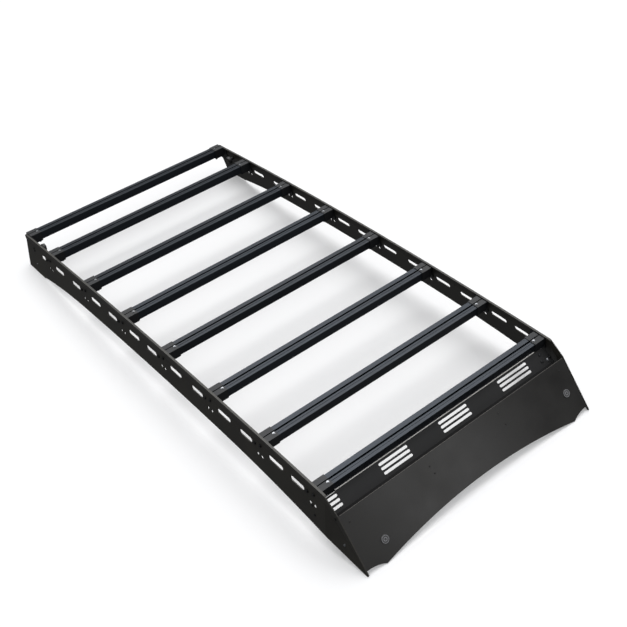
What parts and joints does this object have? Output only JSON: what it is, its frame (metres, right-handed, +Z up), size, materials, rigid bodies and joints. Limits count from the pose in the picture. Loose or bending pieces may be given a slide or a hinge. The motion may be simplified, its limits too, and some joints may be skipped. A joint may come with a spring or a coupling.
{
  "type": "roof rack",
  "caption": "Full-length platform roof rack: folded, slotted side plates joined by slotted crossbars, with a sloping front wind deflector and vent panel.",
  "frame": {"origin": "on the floor under the middle of the rack's box", "axes": "+X to the right across the rack, +Y to the rear, +Z up; the wind deflector faces -Y"},
  "size_m": [1.2222, 2.5382, 0.2447],
  "materials": {
    "plate_coat": "fine textured black powder coat",
    "bar_coat": "satin black anodised",
    "bracket_coat": "black powder coat",
    "panel_coat": "fine textured black powder coat",
    "cap_plastic": "moulded, matte grey"
  },
  "bodies": {
    "root": {"side_plate_left": "plate_coat", "side_plate_right": "plate_coat", "crossbar_1": "bar_coat", "crossbar_2": "bar_coat", "crossbar_3": "bar_coat", "crossbar_4": "bar_coat", "crossbar_5": "bar_coat", "crossbar_6": "bar_coat", "crossbar_7": "bar_coat", "crossbar_8": "bar_coat", "bar_bracket_left_1": "bracket_coat", "bar_bracket_left_2": "bracket_coat", "bar_bracket_left_3": "bracket_coat", "bar_bracket_left_4": "bracket_coat", "bar_bracket_left_5": "bracket_coat", "bar_bracket_left_6": "bracket_coat", "bar_bracket_left_7": "bracket_coat", "bar_bracket_left_8": "bracket_coat", "bar_bracket_right_1": "bracket_coat", "bar_bracket_right_2": "bracket_coat", "bar_bracket_right_3": "bracket_coat", "bar_bracket_right_4": "bracket_coat", "bar_bracket_right_5": "bracket_coat", "bar_bracket_right_6": "bracket_coat", "bar_bracket_right_7": "bracket_coat", "bar_bracket_right_8": "bracket_coat", "deflector": "panel_coat", "vent_panel": "panel_coat", "deflector_cap_left": "cap_plastic", "deflector_cap_right": "cap_plastic"}
  },
  "joints": []
}
